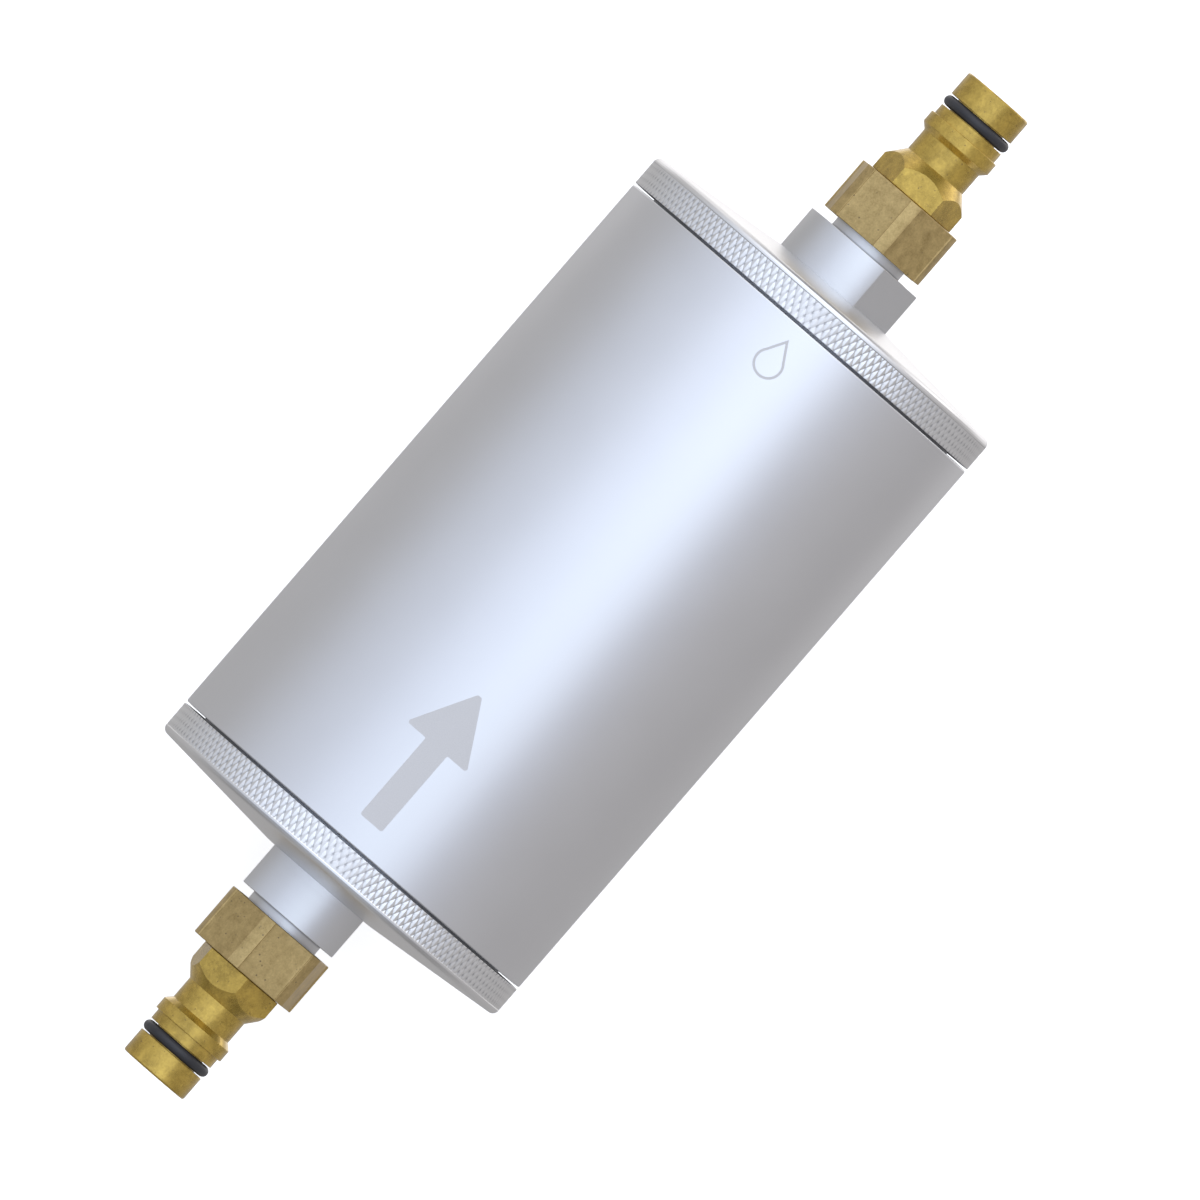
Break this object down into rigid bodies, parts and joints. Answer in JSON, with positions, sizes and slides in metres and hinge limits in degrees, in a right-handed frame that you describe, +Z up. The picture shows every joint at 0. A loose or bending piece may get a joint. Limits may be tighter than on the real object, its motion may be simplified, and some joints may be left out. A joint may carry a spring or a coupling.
{
  "type": "inline water filter",
  "caption": "Cylindrical inline water filter with knurled screw caps, a carbon cartridge inside, and a brass quick-connect plug on a union nut at each end.",
  "frame": {"origin": "middle of the housing, on the flow axis", "axes": "+X along the flow, towards the outlet plug; +Z up when the filter lies on its side with the mark on top; +Y completes the right-handed set"},
  "size_m": [0.265, 0.09, 0.09],
  "materials": {
    "anodised_aluminium": "satin, clear anodised",
    "turned_aluminium": "fine turned, knurled rim",
    "forged_brass": "matte, speckled as forged",
    "turned_brass": "bright turned",
    "black_rubber": "semi-matte",
    "cartridge_plastic": "moulded",
    "core_plastic": "moulded",
    "white_fleece": "non-woven",
    "pressed_carbon": "pressed carbon grain",
    "plastic_net": "extruded net"
  },
  "bodies": {
    "housing": {"housing_tube": "anodised_aluminium"},
    "cartridge": {"cartridge_outlet_cap": "cartridge_plastic", "cartridge_inlet_cap": "cartridge_plastic", "core_tube": "core_plastic", "post_fleece": "white_fleece", "carbon_block": "pressed_carbon", "prefilter_fleece": "white_fleece", "outer_net": "plastic_net", "spigot_seal_inner": "black_rubber", "spigot_seal_outer": "black_rubber"},
    "outlet_cap_lead": {"outlet_cap_seal": "black_rubber"},
    "outlet_cap": {"outlet_cap": "turned_aluminium"},
    "outlet_union": {"outlet_gasket": "black_rubber"},
    "outlet_plug": {"outlet_plug": "turned_brass", "outlet_plug_seal": "black_rubber"},
    "outlet_nut": {"outlet_nut": "forged_brass"},
    "inlet_cap_lead": {"inlet_cap_seal": "black_rubber"},
    "inlet_cap": {"inlet_cap": "turned_aluminium"},
    "inlet_union": {"inlet_gasket": "black_rubber"},
    "inlet_plug": {"inlet_plug": "turned_brass", "inlet_plug_seal": "black_rubber"},
    "inlet_nut": {"inlet_nut": "forged_brass"}
  },
  "joints": [
    {"name": "cartridge_pull", "type": "slide", "parent": "housing", "child": "cartridge", "axis": [1, 0, 0], "range_m": [0, 0.145]},
    {"name": "outlet_cap_unscrew", "type": "slide", "parent": "cartridge", "child": "outlet_cap_lead", "axis": [1, 0, 0], "range_m": [0, 0.0161]},
    {"name": "outlet_cap_spin", "type": "hinge", "parent": "outlet_cap_lead", "child": "outlet_cap", "pos_m": [0.0775, 0, 0], "axis": [1, 0, 0], "range_deg": [0, 2880]},
    {"name": "outlet_plug_unscrew", "type": "slide", "parent": "outlet_cap", "child": "outlet_union", "axis": [1, 0, 0], "range_m": [0, 0.00731]},
    {"name": "outlet_plug_swivel", "type": "hinge", "parent": "outlet_union", "child": "outlet_plug", "pos_m": [0.104, 0, 0], "axis": [1, 0, 0], "continuous": true},
    {"name": "outlet_nut_spin", "type": "hinge", "parent": "outlet_union", "child": "outlet_nut", "pos_m": [0.0985, 0, 0], "axis": [1, 0, 0], "range_deg": [0, 1440]},
    {"name": "inlet_cap_unscrew", "type": "slide", "parent": "housing", "child": "inlet_cap_lead", "axis": [-1, 0, 0], "range_m": [0, 0.0161]},
    {"name": "inlet_cap_spin", "type": "hinge", "parent": "inlet_cap_lead", "child": "inlet_cap", "pos_m": [-0.0775, 0, 0], "axis": [-1, 0, 0], "range_deg": [0, 2880]},
    {"name": "inlet_plug_unscrew", "type": "slide", "parent": "inlet_cap", "child": "inlet_union", "axis": [-1, 0, 0], "range_m": [0, 0.00731]},
    {"name": "inlet_plug_swivel", "type": "hinge", "parent": "inlet_union", "child": "inlet_plug", "pos_m": [-0.104, 0, 0], "axis": [-1, 0, 0], "continuous": true},
    {"name": "inlet_nut_spin", "type": "hinge", "parent": "inlet_union", "child": "inlet_nut", "pos_m": [-0.0985, 0, 0], "axis": [-1, 0, 0], "range_deg": [0, 1440]}
  ],
  "couplings": [
    {"joint": "outlet_cap_unscrew", "follows": "outlet_cap_spin", "m_per_rad": 0.00031831},
    {"joint": "outlet_plug_unscrew", "follows": "outlet_nut_spin", "m_per_rad": 0.00028875},
    {"joint": "inlet_cap_unscrew", "follows": "inlet_cap_spin", "m_per_rad": 0.00031831},
    {"joint": "inlet_plug_unscrew", "follows": "inlet_nut_spin", "m_per_rad": 0.00028875}
  ]
}
